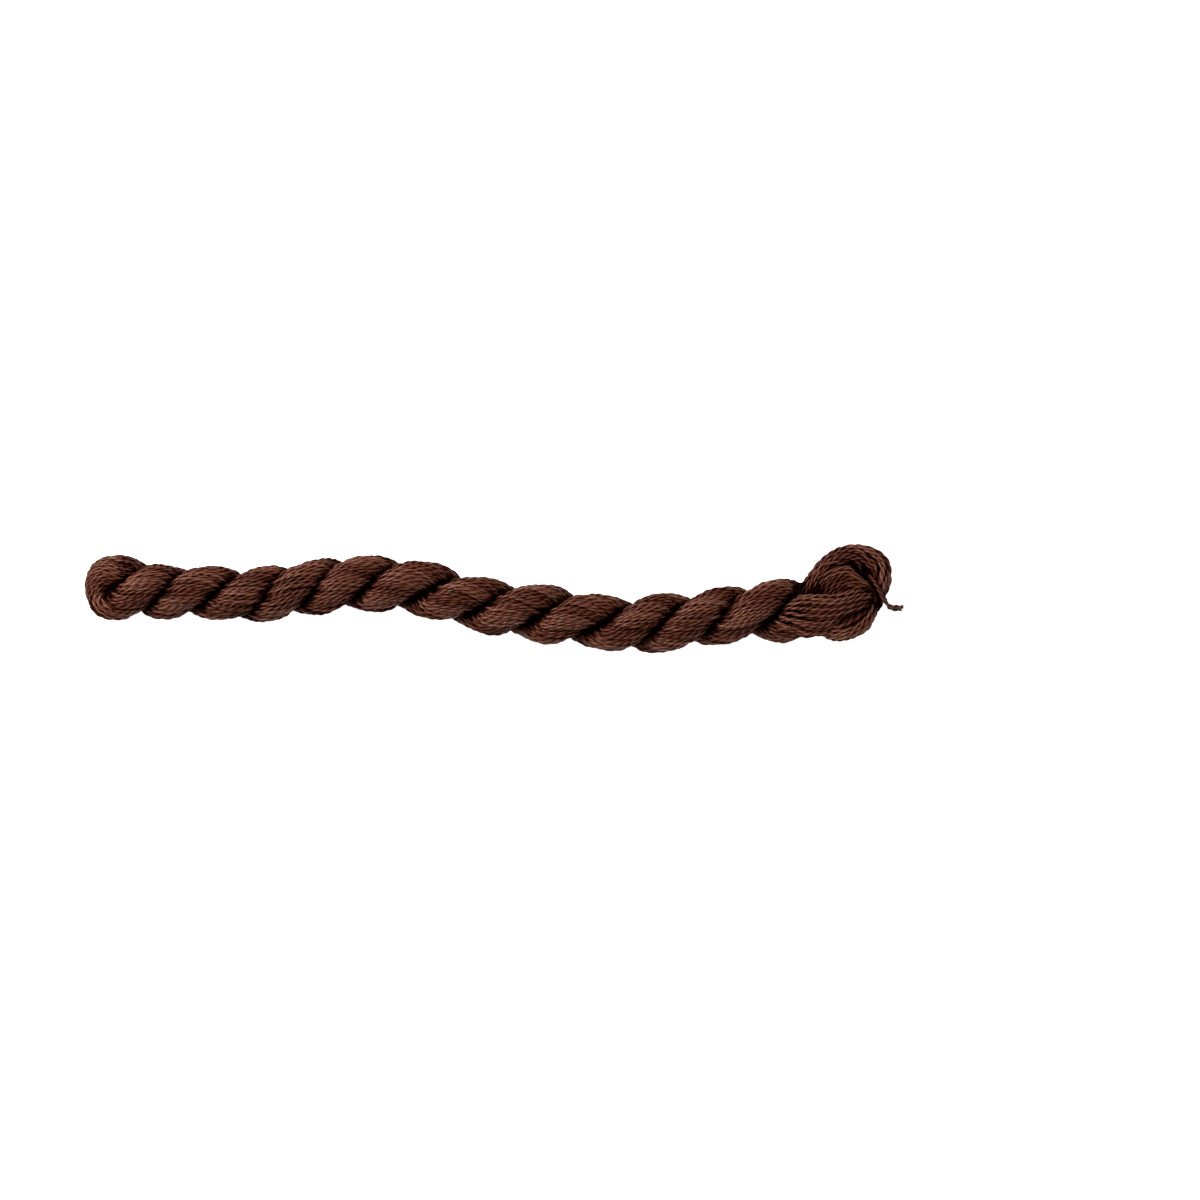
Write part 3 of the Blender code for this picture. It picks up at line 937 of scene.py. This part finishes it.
def makeTie(v):
    line = throughRows(tieBends, np.linspace(0, len(tieBends) - 1, 8 * len(tieBends)))
    along = distanceAlong(line)
    wanted = np.arange(0, along[-1], v["step"])
    line = np.stack([np.interp(wanted, along, c) for c in line.T], axis=1)
    along = distanceAlong(line)
    tree = sweepTree(threadMaterial("tieThread", threadLook, v["lift"]))
    phase = -along * 2 * math.pi / v["strandTurn"]
    # painted shade: deeper on the tie near the arch than at its bare ends, and on its underside
    shaded = np.interp(line[:, 0], *zip(v["shadeFrom"], v["shadeTo"]))
    outward = np.array([0.0, 0.0, 0.9])
    tube = Tube(line + centring, phase, along, v["tone"], shaded, 1.0, outward)
    piece = sweepTubes("tieThread", [tube], v["corners"], v["threadWidth"], v["strandWidth"],
                       tree)
    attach(piece, "root")
    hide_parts("tie")
    tuple((line[0] + centring) * mm)
    [tuple(p) for p in (line + centring) * mm]


# in metres and watts
studio = {
    "viewCentre": (0.03295, -0.0006),
    "viewWidth": 0.354,
    "cameraHeight": 2.0,
    "sensorWidth": 36,  # mm
    "floorHalf": 3.0,
    "floorColour": (0.93, 0.93, 0.935),
    "floorGlow": 0.8,  # keeps the floor white in the shadows, as in an overexposed photo
    "skyStrength": 0.32,
    "key": ((-1.05, 0.75, 0.95), 0.6, 60.0),  # place, side and strength of each lamp
    "fill": ((0.3, -1.3, 0.7), 0.8, 11.0),
}


def makeStudio(v):
    scene = bpy.context.scene
    data = bpy.data.cameras.new("camera")
    data.sensor_width = v["sensorWidth"]
    data.lens = v["sensorWidth"] * v["cameraHeight"] / v["viewWidth"]
    data.clip_end = 10
    camera = bpy.data.objects.new("camera", data)
    camera.location = (*v["viewCentre"], v["cameraHeight"])
    scene.collection.objects.link(camera)
    scene.camera = camera

    mesh = bpy.data.meshes.new("floor")
    size = v["floorHalf"]
    mesh.from_pydata([(-size, -size, 0), (size, -size, 0), (size, size, 0), (-size, size, 0)],
                     [], [(0, 1, 2, 3)])
    floor = bpy.data.objects.new("floor", mesh)
    scene.collection.objects.link(floor)
    paint = bpy.data.materials.new("floorPaint")
    paint.use_nodes = True
    shader = paint.node_tree.nodes["Principled BSDF"]
    shader.inputs["Roughness"].default_value = 0.9
    shader.inputs["Base Color"].default_value = (*v["floorColour"], 1)
    shader.inputs["Emission Color"].default_value = (1, 1, 1, 1)
    shader.inputs["Emission Strength"].default_value = v["floorGlow"]
    mesh.materials.append(paint)

    world = bpy.data.worlds.new("studio")
    world.use_nodes = True
    back = world.node_tree.nodes["Background"]
    back.inputs["Color"].default_value = (1, 1, 1, 1)
    back.inputs["Strength"].default_value = v["skyStrength"]
    scene.world = world
    for name in ("key", "fill"):
        place, size, strength = v[name]
        lamp = bpy.data.lights.new(name, "AREA")
        lamp.energy = strength
        lamp.size = size
        made = bpy.data.objects.new(name, lamp)
        made.location = place
        made.rotation_euler = (-Vector(place)).to_track_quat("-Z", "Y").to_euler()
        scene.collection.objects.link(made)
    scene.view_settings.view_transform = "Standard"
    scene.view_settings.look = "None"


makeStudio(studio)
makeTie(tie)
makeSkein(skein)
print("done")
